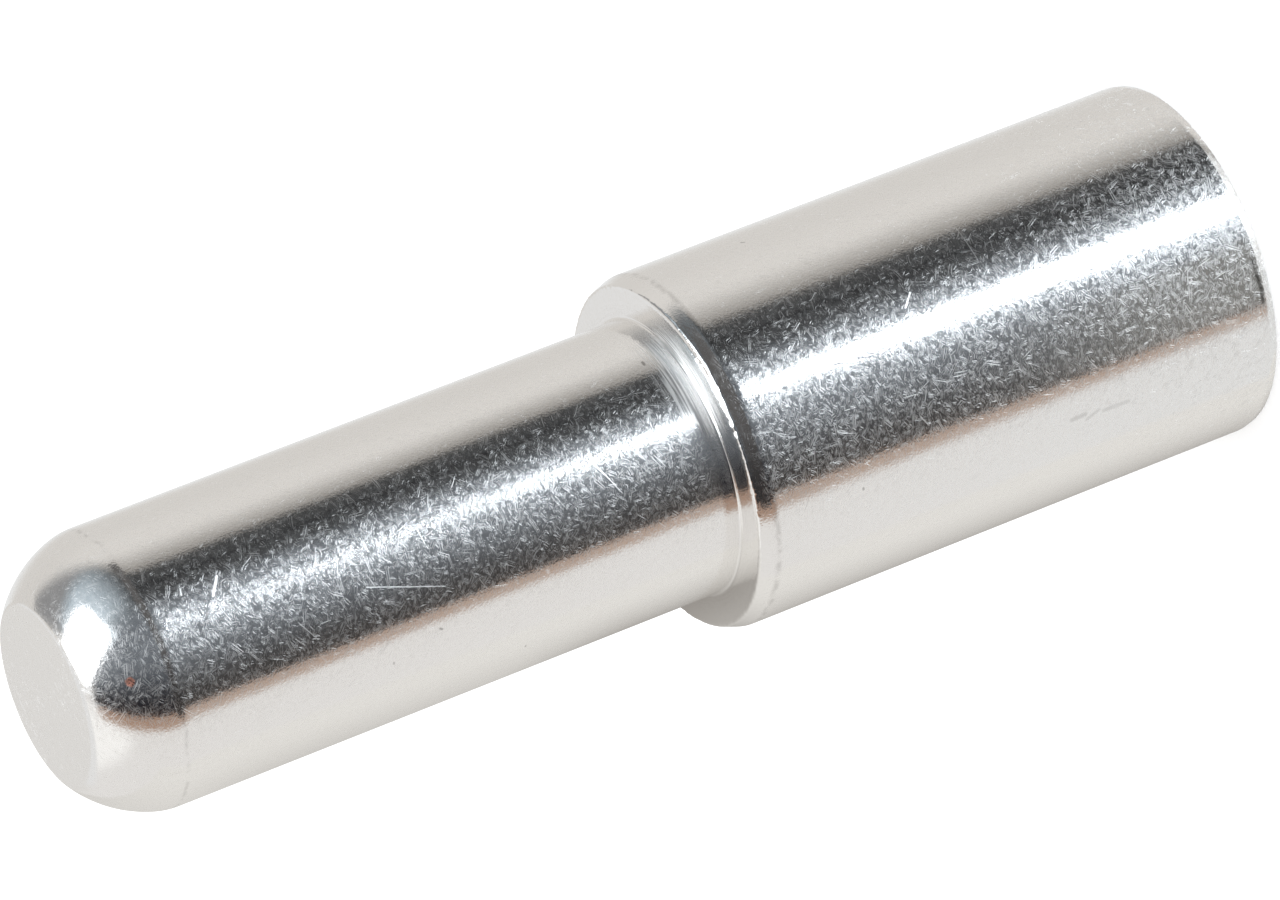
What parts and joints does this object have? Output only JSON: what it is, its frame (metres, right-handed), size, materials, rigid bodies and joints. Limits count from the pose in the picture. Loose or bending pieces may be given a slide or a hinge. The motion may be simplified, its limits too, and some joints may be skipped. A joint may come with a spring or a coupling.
{
  "type": "contact pin",
  "caption": "Silver-plated turned contact pin: a rounded shank that plugs into a socket, and a thicker barrel with a blind crimp bore for the conductor.",
  "frame": {"origin": "centre of the barrel's rear face, on the pin's axis", "axes": "+Z along the pin's axis from the rear face to the nose; X and Y are alike, because the pin is turned"},
  "size_m": [0.018, 0.018, 0.063],
  "materials": {
    "plated_metal": "silver plated over turned copper alloy, tumbled, with short fine scratches all over"
  },
  "bodies": {
    "root": {"contact_pin": "plated_metal"}
  },
  "joints": []
}
